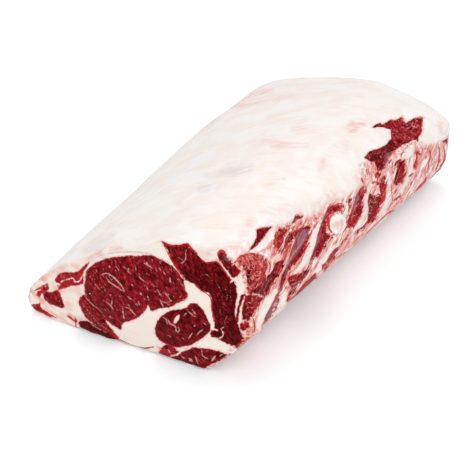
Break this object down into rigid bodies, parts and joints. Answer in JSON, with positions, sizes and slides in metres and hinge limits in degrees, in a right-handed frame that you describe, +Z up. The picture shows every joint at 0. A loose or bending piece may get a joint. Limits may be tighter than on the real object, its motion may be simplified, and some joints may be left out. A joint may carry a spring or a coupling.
{
  "type": "beef ribeye",
  "caption": "Whole raw boneless beef ribeye lying fat side up, with one marbled cut face, a smooth fat cap and a trimmed side with sinew and lean strips.",
  "frame": {"origin": "middle of the bounding box at the surface that the meat lies on", "axes": "+Y along the length from the shown cut face to the far one, +X from the thin edge to the thick trimmed side, +Z up through the fat cap"},
  "size_m": [0.2468, 0.3872, 0.1296],
  "materials": {
    "meat": "moist raw lean and fat"
  },
  "bodies": {
    "root": {"ribeye": "meat"}
  },
  "joints": []
}
